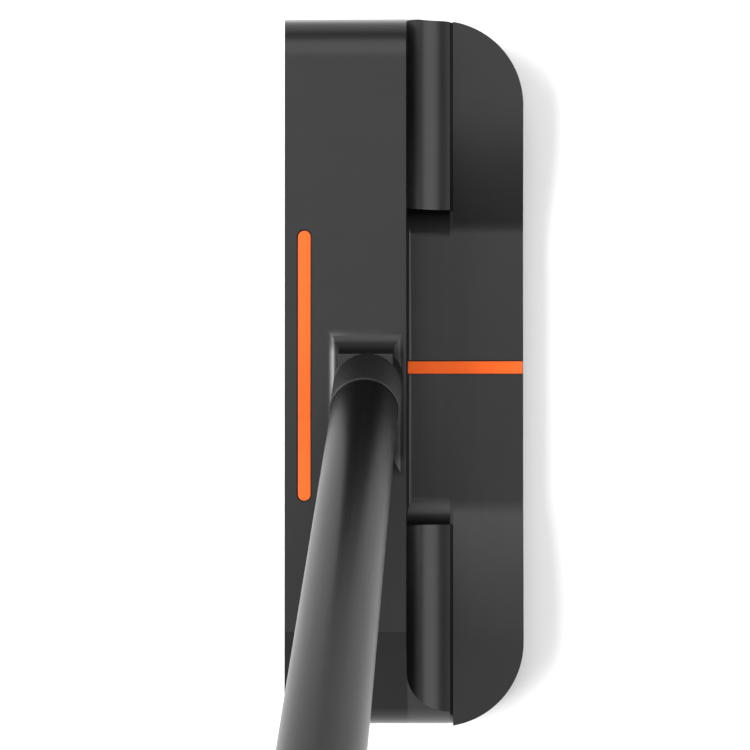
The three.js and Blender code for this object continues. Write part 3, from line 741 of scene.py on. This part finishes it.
def grip_rings(mesh):
    """The outer skin from the low end up, then the bore from the high end down."""
    turns = [math.tau * k / GRIP_SIDES for k in range(GRIP_SIDES)]
    rings = []
    for i in range(GRIP_RINGS + 1):
        z = GRIP_START + (SHAFT_END - GRIP_START) * i / GRIP_RINGS
        lip = min(1.0, (z - GRIP_START) / GRIP_LIP)
        inset = GRIP_LIP * GRIP_LIP_SHARE * (1 - math.sqrt(1 - (1 - lip) ** 2))
        ring = []
        for a in turns:
            reach = grip_radius(z) * grip_section(a) - inset - grip_pattern(z, a) - GRIP_SINK
            ring.append(mesh.verts.new((reach * math.cos(a), reach * math.sin(a), z)))
        rings.append(ring)
    for z in (SHAFT_END, GRIP_START):
        r = shaft_radius(z) + 2 * GAP + TAPE_WALL
        rings.append([mesh.verts.new((r * math.cos(a), r * math.sin(a), z)) for a in turns])
    return rings


def make_grip():
    mesh = bmesh.new()
    rings = grip_rings(mesh)
    for a, b in zip(rings, rings[1:] + rings[:1]):
        for k in range(GRIP_SIDES):
            j = (k + 1) % GRIP_SIDES
            face = mesh.faces.new((a[k], a[j], b[j], b[k]))
            face.smooth = True
    grip = finished(mesh, "rubber_grip")
    for edge in grip.data.edges:
        low, high = (grip.data.vertices[v].co for v in edge.vertices)
        ends = all(abs(p.z - SHAFT_END) < SAME or abs(p.z - GRIP_START) < SAME for p in (low, high))
        edge.use_edge_sharp = ends and abs(low.z - high.z) < SAME
    return moved(grip, SHAFT_FRAME)


def make_cap():
    """The end cap: a domed disc with a ring groove and a vent, on a stem inside the shaft."""
    r = shaft_radius(CLUB_TOP) + 2 * GAP + TAPE_WALL + GRIP_WALL_HIGH
    stem = shaft_radius(SHAFT_END) - SHAFT_WALL - 2 * GAP
    vent, edge, depth = CAP_VENT_R, CAP_EDGE_R, CAP_RING_DEPTH
    ring = r * CAP_RING_SHARE
    outside, inside = CLUB_TOP - CAP_DOME * 0.35, CLUB_TOP - CAP_DOME * 0.25
    profile = [(vent, CAP_BASE - CAP_STEM), (stem, CAP_BASE - CAP_STEM), (stem, CAP_BASE)]
    profile += [(r - CAP_FOOT, CAP_BASE), (r, CAP_BASE + CAP_FOOT)]
    profile += arc(r - edge, CLUB_TOP - CAP_DOME - edge, edge, 0, 80, 10)
    profile += [(ring + 2 * depth, outside), (ring + depth, outside - depth)]
    profile += [(ring - depth, outside - depth), (ring - 2 * depth, inside)]
    profile += [(vent + CAP_LIP, CLUB_TOP), (vent, CLUB_TOP - CAP_LIP)]
    cap = lathe(profile, CAP_ROUND, closed=True, name="vented_end_cap")
    soften(cap, CAP_EDGE, angle=28)
    return moved(cap, SHAFT_FRAME)


# ---- materials ----
RANGE_SOCKETS = ("From Min", "From Max", "To Min", "To Max")
NOISE_LOW, NOISE_HIGH = 0.25, 0.75
MASK_BLUR = 0.0001
SOFT_BLUR = 0.0002
ABOVE_BLOCK, ABOVE_BLOCK_BLUR = 0.00006, 0.00005
BOSS_END_FOOT = 0.0006
BOSS_SIDE_BLUR = 0.0016
RELIEF_BLUR = 0.00003


class Surface:
    """One material: a Principled shader and the procedural nodes that feed it."""

    def __init__(self, name, color, metallic, roughness, **sockets):
        self.material = bpy.data.materials.new(name)
        self.material.use_nodes = True
        self.nodes = self.material.node_tree.nodes
        self.links = self.material.node_tree.links
        self.shader = self.nodes["Principled BSDF"]
        self.shader.inputs["Base Color"].default_value = (*color, 1.0)
        self.shader.inputs["Metallic"].default_value = metallic
        self.shader.inputs["Roughness"].default_value = roughness
        for socket, value in sockets.items():
            self.shader.inputs[socket.replace("_", " ")].default_value = value
        self.place = self.add("ShaderNodeTexCoord").outputs["Object"]
        self.height = None

    def add(self, kind, **settings):
        node = self.nodes.new(kind)
        for name, value in settings.items():
            setattr(node, name, value)
        return node

    def follow(self, line):
        """Lays the pattern out in another frame, such as the shaft's, instead of the club's."""
        back = line.inverted()
        mapping = self.add("ShaderNodeMapping")
        mapping.inputs["Location"].default_value = back.to_translation()
        mapping.inputs["Rotation"].default_value = back.to_euler()
        self.links.new(self.place, mapping.inputs["Vector"])
        self.place = mapping.outputs["Vector"]

    def stretched(self, x, y, z):
        """Object coordinates scaled on each axis, so that grain runs along the least scaled one."""
        mapping = self.add("ShaderNodeMapping")
        mapping.inputs["Scale"].default_value = (x, y, z)
        self.links.new(self.place, mapping.inputs["Vector"])
        return mapping.outputs["Vector"]

    def noise(self, vector, scale, detail=3.0, rough=0.55, distortion=0.0):
        node = self.add("ShaderNodeTexNoise")
        node.inputs["Scale"].default_value = scale
        node.inputs["Detail"].default_value = detail
        node.inputs["Roughness"].default_value = rough
        node.inputs["Distortion"].default_value = distortion
        self.links.new(vector, node.inputs["Vector"])
        return node.outputs["Fac"]

    def cells(self, vector, scale):
        node = self.add("ShaderNodeTexVoronoi")
        node.inputs["Scale"].default_value = scale
        self.links.new(vector, node.inputs["Vector"])
        return node.outputs["Distance"]

    def bands(self, vector, scale, direction="X", distortion=0.0):
        node = self.add("ShaderNodeTexWave", bands_direction=direction)
        node.inputs["Scale"].default_value = scale
        node.inputs["Distortion"].default_value = distortion
        node.inputs["Detail Scale"].default_value = 1.5
        self.links.new(vector, node.inputs["Vector"])
        return node.outputs["Fac"]

    def spread(self, value, low, high, to_low, to_high):
        node = self.add("ShaderNodeMapRange")
        for socket, number in zip(RANGE_SOCKETS, (low, high, to_low, to_high)):
            node.inputs[socket].default_value = number
        self.links.new(value, node.inputs["Value"])
        return node.outputs["Result"]

    def product(self, a, b):
        node = self.add("ShaderNodeMath", operation="MULTIPLY")
        self.links.new(a, node.inputs[0])
        self.links.new(b, node.inputs[1])
        return node.outputs["Value"]

    def color_between(self, value, first, second):
        node = self.add("ShaderNodeMix", data_type="RGBA")
        colors = [s for s in node.inputs if s.type == "RGBA"]
        colors[0].default_value = (*first, 1.0)
        colors[1].default_value = (*second, 1.0)
        self.links.new(value, node.inputs["Factor"])
        result = [s for s in node.outputs if s.type == "RGBA"][0]
        self.links.new(result, self.shader.inputs["Base Color"])

    def shade(self, mask, share):
        """Multiplies the color by share where the mask is 1, which paints shade into the colour where share
        is below 1 and a highlight where it is above 1.
        """
        node = self.add("ShaderNodeMix", data_type="RGBA", blend_type="MULTIPLY")
        color = self.shader.inputs["Base Color"].links[0].from_socket
        first, second = [s for s in node.inputs if s.type == "RGBA"]
        result = [s for s in node.outputs if s.type == "RGBA"][0]
        second.default_value = (share, share, share, 1.0)
        self.links.new(mask, node.inputs["Factor"])
        self.links.new(color, first)
        self.links.new(result, self.shader.inputs["Base Color"])

    def along(self, axis):
        """The object's own X, Y or Z."""
        axes = self.add("ShaderNodeSeparateXYZ")
        self.links.new(self.place, axes.inputs["Vector"])
        return axes.outputs[axis]

    def within(self, axis, low, high, blur=MASK_BLUR):
        """1 where the object's own X, Y or Z lies between low and high, and 0 elsewhere."""
        place = self.along(axis)
        above = self.spread(place, low - blur, low, 0.0, 1.0)
        below = self.spread(place, high, high + blur, 1.0, 0.0)
        return self.product(above, below)

    def painted_slope_shade_mask(self):
        """The sloped heel end of the block, where shade is painted into the colour."""
        along = self.within("Y", HEEL_Y, HEEL_SLOPE_START_Y)
        across = self.within("X", 2 * FACE_X, BLOCK_BACK_X)
        return self.product(self.product(along, across), self.within("Z", FLOOR_Z, BLOCK_TOP))

    def boss_side_mask(self, low, high):
        """One long side of the boss, between two places on X, for painted light: a painted highlight on the
        left side, painted shade on the right. The flat top of the block stays out.
        """
        above = self.within("Z", BLOCK_TOP + ABOVE_BLOCK, BOSS_TOP, ABOVE_BLOCK_BLUR)
        along = self.within("Y", BOSS_HEEL, BOSS_TOE + SOFT_BLUR, BOSS_SIDE_BLUR)
        return self.product(self.product(self.within("X", low, high), along), above)

    def painted_boss_end_highlight_mask(self):
        """The round at the toe end of the boss, rising from 0 at its foot to 1 at its top, where a highlight
        is painted into the colour.
        """
        low, high = BLOCK_TOP + BOSS_END_FOOT, BLOCK_TOP + BOSS_END_R
        rise = self.spread(self.along("Z"), low, high, 0.0, 1.0)
        along = self.within("Y", BOSS_TOE, BOSS_TOE + BOSS_END_R)
        below = self.within("Z", BLOCK_TOP, BOSS_TOP - SOFT_BLUR)
        return self.product(self.product(rise, along), below)

    def painted_relief_shade_mask(self):
        """The two narrow reliefs between the coves and the wings, toe side and heel side, where shade is
        painted into the colour.
        """
        across = self.within("X", WING_X - RELIEF_WIDTH, WING_X, RELIEF_BLUR)
        toe = self.within("Y", TROUGH_END_Y, TOE_Y)
        heel = self.within("Y", HEEL_Y, -TROUGH_END_Y)
        return self.product(across, toe), self.product(across, heel)

    def cove_mask(self):
        """1 in the two coves, which a round cutter leaves smoother, and 0 on the rest of the head."""
        reach = self.add("ShaderNodeMath", operation="ABSOLUTE")
        self.links.new(self.along("Y"), reach.inputs[0])
        inside = self.spread(self.along("X"), BLOCK_BACK_X - SOFT_BLUR, BLOCK_BACK_X, 0.0, 1.0)
        outside = self.spread(self.along("X"), WING_X - RELIEF_WIDTH, WING_X, 1.0, 0.0)
        ends = self.spread(reach.outputs["Value"], TROUGH_END_Y - SOFT_BLUR, TROUGH_END_Y, 0.0, 1.0)
        return self.product(self.product(inside, outside), ends)

    def neck_mask(self):
        """1 on the neck above the boss, which is blasted and not milled."""
        return self.spread(self.along("Z"), BOSS_TOP, BOSS_TOP + SOFT_BLUR, 0.0, 1.0)

    def mixed(self, mask, first, second):
        node = self.add("ShaderNodeMix", data_type="FLOAT")
        self.links.new(mask, node.inputs["Factor"])
        self.links.new(first, node.inputs["A"])
        self.links.new(second, node.inputs["B"])
        return node.outputs["Result"]

    def blend_roughness(self, mask, first, second):
        self.links.new(self.mixed(mask, first, second), self.shader.inputs["Roughness"])

    def roughness_from(self, value, low, high):
        self.links.new(self.spread(value, NOISE_LOW, NOISE_HIGH, low, high), self.shader.inputs["Roughness"])

    def bump(self, value, strength, distance):
        """Adds one more layer of relief to the surface, distance in metres."""
        node = self.add("ShaderNodeBump")
        node.inputs["Strength"].default_value = strength
        node.inputs["Distance"].default_value = distance
        self.links.new(value, node.inputs["Height"])
        if self.height is not None:
            self.links.new(self.height, node.inputs["Normal"])
        self.height = node.outputs["Normal"]
        self.links.new(self.height, self.shader.inputs["Normal"])


# ---- painted shade and painted highlights: how much of the plain tone some places keep ----
SLOPE_PAINTED_SHADE = 0.52
BOSS_LEFT_PAINTED_HIGHLIGHT, BOSS_RIGHT_PAINTED_SHADE, BOSS_END_PAINTED_HIGHLIGHT = 1.9, 0.5, 3.2
RELIEF_PAINTED_SHADE = 0.35
BLOCK_TOP_PAINTED_SHADE = 0.70


def head_black():
    """Black-finished milled metal: a fine grain over faint cutter lines, with painted shade and painted
    highlights at some places.
    """
    s = Surface("black_milled_metal", (0.0335, 0.0335, 0.034), 1.0, 0.33)
    s.shader.inputs["Specular Tint"].default_value = (0.8, 0.8, 0.8, 1.0)
    grain = s.noise(s.place, 9000.0, 4.0, 0.6)
    cloud = s.noise(s.place, 160.0, 3.0)
    lines = s.noise(s.stretched(2600.0, 60.0, 2600.0), 1.0, 3.0, 0.6)
    s.color_between(cloud, (0.0320, 0.0320, 0.0325), (0.0350, 0.0350, 0.0355))
    # painted shade on the sloped heel end of the block
    s.shade(s.painted_slope_shade_mask(), SLOPE_PAINTED_SHADE)
    # painted highlight on the boss's left side
    s.shade(s.boss_side_mask(2 * FACE_X, BOSS_LEFT), BOSS_LEFT_PAINTED_HIGHLIGHT)
    # painted shade on the boss's right side
    s.shade(s.boss_side_mask(BOSS_RIGHT, BLOCK_BACK_X + MARGIN), BOSS_RIGHT_PAINTED_SHADE)
    # painted highlight on the round at the boss's toe end
    s.shade(s.painted_boss_end_highlight_mask(), BOSS_END_PAINTED_HIGHLIGHT)
    # painted shade in the two narrow reliefs
    for relief in s.painted_relief_shade_mask():
        s.shade(relief, RELIEF_PAINTED_SHADE)
    flats = s.spread(lines, NOISE_LOW, NOISE_HIGH, 0.30, 0.36)
    coves = s.spread(lines, NOISE_LOW, NOISE_HIGH, 0.27, 0.33)
    neck = s.spread(lines, NOISE_LOW, NOISE_HIGH, 0.44, 0.50)
    s.blend_roughness(s.neck_mask(), s.mixed(s.cove_mask(), flats, coves), neck)
    s.bump(lines, 0.04, 0.00002)
    s.bump(grain, 0.10, 0.00001)
    return s.material


def sight_paint():
    """Orange enamel with a slight orange-peel surface, with painted shade on top of the block."""
    s = Surface("orange_enamel", (0.74, 0.102, 0.010), 0.0, 0.5, Specular_IOR_Level=0.16)
    mottle = s.noise(s.place, 700.0, 4.0)
    s.color_between(mottle, (0.80, 0.114, 0.0125), (0.76, 0.102, 0.0095))
    # painted shade: the line on top of the block is darker than the flange line
    s.shade(s.spread(s.along("Z"), FLOOR_Z, BLOCK_TOP - MARGIN, 0.0, 1.0), BLOCK_TOP_PAINTED_SHADE)
    s.roughness_from(s.noise(s.place, 2500.0), 0.44, 0.58)
    s.bump(s.noise(s.place, 2200.0, 2.0), 0.15, 0.00003)
    return s.material


def insert_metal():
    """Dark milled insert: level tool lines and a matte grain."""
    s = Surface("dark_milled_insert", (0.10, 0.10, 0.105), 1.0, 0.40)
    lines = s.noise(s.stretched(300.0, 90.0, 6000.0), 1.0, 3.0)
    s.color_between(s.noise(s.place, 300.0), (0.085, 0.086, 0.09), (0.12, 0.12, 0.125))
    s.roughness_from(lines, 0.32, 0.46)
    s.bump(lines, 0.25, 0.00002)
    s.bump(s.noise(s.place, 7000.0), 0.10, 0.00001)
    return s.material


def sole_steel():
    """Brushed stainless steel, brushed from heel to toe."""
    s = Surface("brushed_steel_plate", (0.52, 0.52, 0.53), 1.0, 0.30)
    hair = s.noise(s.stretched(9000.0, 70.0, 9000.0), 1.0, 4.0, 0.6)
    streaks = s.noise(s.stretched(1500.0, 16.0, 1500.0), 1.0, 4.0, 0.7)
    s.color_between(streaks, (0.40, 0.40, 0.41), (0.62, 0.62, 0.63))
    s.roughness_from(hair, 0.24, 0.40)
    s.bump(hair, 0.25, 0.00002)
    return s.material


def screw_steel():
    """Dark zinc-coated steel with a fine grain."""
    s = Surface("dark_screw_steel", (0.20, 0.20, 0.21), 1.0, 0.30)
    grain = s.noise(s.place, 5000.0, 3.0)
    s.color_between(grain, (0.15, 0.15, 0.16), (0.27, 0.27, 0.28))
    s.roughness_from(grain, 0.24, 0.42)
    s.bump(grain, 0.2, 0.00001)
    return s.material


def weight_metal():
    """Turned weight alloy with a fine lathe grain."""
    s = Surface("turned_weight_alloy", (0.25, 0.25, 0.265), 1.0, 0.28)
    grain = s.noise(s.stretched(2400.0, 2400.0, 9000.0), 1.0, 3.0)
    s.color_between(grain, (0.20, 0.20, 0.215), (0.31, 0.31, 0.325))
    s.roughness_from(grain, 0.22, 0.36)
    s.bump(grain, 0.15, 0.00001)
    return s.material


def washer_rubber():
    s = Surface("washer_rubber", (0.014, 0.014, 0.014), 0.0, 0.75)
    grain = s.noise(s.place, 4000.0, 3.0)
    s.color_between(grain, (0.010, 0.010, 0.010), (0.020, 0.020, 0.019))
    s.roughness_from(grain, 0.66, 0.84)
    s.bump(grain, 0.3, 0.00003)
    return s.material


def adhesive():
    s = Surface("cured_adhesive", (0.45, 0.38, 0.24), 0.0, 0.45)
    flow = s.noise(s.place, 500.0, 4.0, 0.55, 0.6)
    s.color_between(flow, (0.38, 0.31, 0.18), (0.54, 0.46, 0.31))
    s.roughness_from(flow, 0.35, 0.58)
    s.bump(flow, 0.3, 0.00005)
    return s.material


def shaft_black():
    """Satin black coated steel tube with a very fine draw grain along its length."""
    s = Surface("satin_black_shaft", (0.0185, 0.0185, 0.019), 1.0, 0.28)
    s.shader.inputs["Specular Tint"].default_value = (0.68, 0.68, 0.68, 1.0)
    s.follow(SHAFT_FRAME)
    hair = s.noise(s.stretched(5200.0, 5200.0, 40.0), 1.0, 3.0, 0.55)
    s.color_between(s.noise(s.place, 220.0), (0.0175, 0.0175, 0.0180), (0.0195, 0.0195, 0.0200))
    s.roughness_from(hair, 0.27, 0.31)
    s.bump(hair, 0.02, 0.00001)
    s.bump(s.noise(s.place, 9000.0, 2.0), 0.04, 0.00001)
    return s.material


def tape():
    s = Surface("crepe_tape", (0.68, 0.62, 0.46), 0.0, 0.85)
    s.follow(SHAFT_FRAME)
    weave = s.bands(s.place, 420.0, "Z", 1.5)
    s.color_between(weave, (0.62, 0.56, 0.40), (0.74, 0.68, 0.52))
    s.roughness_from(weave, 0.78, 0.92)
    s.bump(weave, 0.3, 0.00004)
    return s.material


def grip_rubber():
    """Matte black rubber with a moulded pebble grain and slightly dusty high spots."""
    s = Surface("moulded_black_rubber", (0.014, 0.014, 0.0145), 0.0, 0.62, Specular_IOR_Level=0.24)
    s.follow(SHAFT_FRAME)
    pebbles = s.cells(s.place, 2600.0)
    wear = s.noise(s.place, 90.0, 5.0, 0.6)
    s.color_between(wear, (0.010, 0.010, 0.0105), (0.018, 0.018, 0.0185))
    s.roughness_from(s.product(wear, s.spread(pebbles, 0.0, 0.6, 1.3, 0.8)), 0.50, 0.76)
    s.bump(pebbles, 0.35, 0.00004)
    return s.material


def cap_plastic():
    """Moulded black plastic with a spark-eroded texture."""
    s = Surface("moulded_black_plastic", (0.018, 0.018, 0.019), 0.0, 0.45)
    s.follow(SHAFT_FRAME)
    grain = s.noise(s.place, 3600.0, 4.0, 0.6)
    s.color_between(grain, (0.014, 0.014, 0.015), (0.025, 0.025, 0.026))
    s.roughness_from(grain, 0.38, 0.56)
    s.bump(grain, 0.22, 0.00003)
    return s.material


def floor_white():
    s = Surface("pale_studio_floor", (0.86, 0.86, 0.86), 0.0, 0.7)
    s.color_between(s.noise(s.place, 6.0, 4.0), (0.72, 0.72, 0.725), (0.74, 0.74, 0.74))
    s.roughness_from(s.noise(s.place, 40.0), 0.62, 0.78)
    return s.material


# ---- putting the pieces in the frame ----
def dress(obj, material):
    obj.data.materials.clear()
    obj.data.materials.append(material)


def place_piece(obj, material, slot, *nodes):
    dress(obj, material)
    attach(obj, "root")
    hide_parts(*nodes)


def build_pieces():
    place_piece(make_head(), head_black(), "head_black", "head_body")
    paint = sight_paint()
    for mark, node in ((make_face_mark(), "face_sight_line"), (make_flange_mark(), "flange_sight_line")):
        place_piece(mark, paint, "sight_paint", node)
        mark.visible_glossy = False
    place_piece(make_insert(), insert_metal(), "insert_metal", "face_insert")
    place_piece(make_sole_plate(), sole_steel(), "sole_steel", "sole_plate")
    steel = screw_steel()
    for number, (x, y) in enumerate(SCREW_PLACES, 1):
        place_piece(make_screw(number, x, y), steel, "screw_steel", f"sole_screw_{number}")
    alloy = weight_metal()
    for side, end in ((1, "toe"), (-1, "heel")):
        place_piece(make_weight(side, end), alloy, "weight_metal", f"{end}_sole_weight")
    place_piece(make_shaft(), shaft_black(), "shaft_black", "shaft")
    place_piece(make_grip(), grip_rubber(), "grip_rubber", "grip")
    place_piece(make_cap(), cap_plastic(), "cap_plastic", "grip_cap")


def dress_hidden_nodes():
    """The films, sleeves and washers keep their CAD shape and get their materials."""
    nodes = frame["nodes"]
    glue = adhesive()
    rubber = washer_rubber()
    dress(nodes["insert_bond_film"], glue)
    dress(nodes["shaft_bond"], glue)
    dress(nodes["toe_weight_washer"], rubber)
    dress(nodes["heel_weight_washer"], rubber)
    dress(nodes["grip_tape"], tape())


# ---- studio ----
FLOOR_HALF = 9.0
AIM = Vector((0.0, 0.0, 0.02))
ROOM_TILT = (0.0, 0.45, 0.89)
ROOM_GRADIENT = (-0.45, 0.75, 0.14, 0.60)
# Azimuth and elevation in degrees; distance, width and length in metres; radiance.
PANELS = {
    "panel_left": (180, 42, 3.6, 2.8, 3.9, 10.5),
    "panel_right": (0, 31, 3.6, 2.9, 6.0, 2.5),
    "panel_top": (90, 62, 4.2, 2.2, 5.9, 1.25),
    "panel_toe": (90, 50, 4.0, 2.2, 2.8, 1.1),
}


def make_floor():
    mesh = bmesh.new()
    turns = ((-1, -1), (1, -1), (1, 1), (-1, 1))
    mesh.faces.new([mesh.verts.new((x * FLOOR_HALF, y * FLOOR_HALF, 0.0)) for x, y in turns])
    floor = finished(mesh, "studio_floor")
    floor.location.z = cad_low.z
    dress(floor, floor_white())


def softbox(name, azimuth, elevation, distance, width, length, radiance):
    """A soft panel seen from the head at the given angles; azimuth 0 is +X, 90 is the toe."""
    light = bpy.data.lights.new(name, "AREA")
    light.shape = "RECTANGLE"
    light.size = width
    light.size_y = length
    light.energy = radiance * math.pi * width * length
    panel = bpy.data.objects.new(name, light)
    a, e = math.radians(azimuth), math.radians(elevation)
    way = Vector((math.cos(a) * math.cos(e), math.sin(a) * math.cos(e), math.sin(e)))
    panel.location = AIM + way * distance
    side = Vector((0.0, 1.0, 0.0)).cross(way).normalized()
    up = way.cross(side)
    panel.rotation_mode = "QUATERNION"
    panel.rotation_quaternion = Matrix((side, up, way)).transposed().to_quaternion()
    panel.visible_camera = False
    bpy.context.scene.collection.objects.link(panel)


def light_room():
    """A pale room that is brightest overhead and on the toe side."""
    world = bpy.data.worlds.new("soft_white_room")
    world.use_nodes = True
    nodes, links = world.node_tree.nodes, world.node_tree.links
    along = nodes.new("ShaderNodeVectorMath")
    along.operation = "DOT_PRODUCT"
    along.inputs[1].default_value = ROOM_TILT
    rise = nodes.new("ShaderNodeMapRange")
    for socket, number in zip(RANGE_SOCKETS, ROOM_GRADIENT):
        rise.inputs[socket].default_value = number
    links.new(nodes.new("ShaderNodeTexCoord").outputs["Generated"], along.inputs[0])
    links.new(along.outputs["Value"], rise.inputs["Value"])
    links.new(rise.outputs["Result"], nodes["Background"].inputs["Strength"])
    nodes["Background"].inputs["Color"].default_value = (1.0, 1.0, 1.0, 1.0)
    bpy.context.scene.world = world


def light_studio():
    light_room()
    for name, numbers in PANELS.items():
        softbox(name, *numbers)


CAMERA_EYE = Vector((0.01012, -0.01053, 0.595))
CAMERA_AIM = Vector((-0.00475, -0.00154, 0.025))
CAMERA_LENS = 167.4
SENSOR_WIDTH = 36.0
CLIP_START, CLIP_END = 0.01, 50.0


def make_camera():
    data = bpy.data.cameras.new("studio_camera")
    data.lens = CAMERA_LENS
    data.sensor_width = SENSOR_WIDTH
    data.clip_start = CLIP_START
    data.clip_end = CLIP_END
    camera = bpy.data.objects.new("studio_camera", data)
    back = (CAMERA_EYE - CAMERA_AIM).normalized()
    side = Vector((0.0, 1.0, 0.0)).cross(back).normalized()
    up = back.cross(side)
    camera.location = CAMERA_EYE
    camera.rotation_mode = "QUATERNION"
    camera.rotation_quaternion = Matrix((side, up, back)).transposed().to_quaternion()
    bpy.context.scene.collection.objects.link(camera)
    bpy.context.scene.camera = camera


build_pieces()
dress_hidden_nodes()
make_floor()
light_studio()
make_camera()
bpy.context.scene.view_settings.view_transform = "Standard"
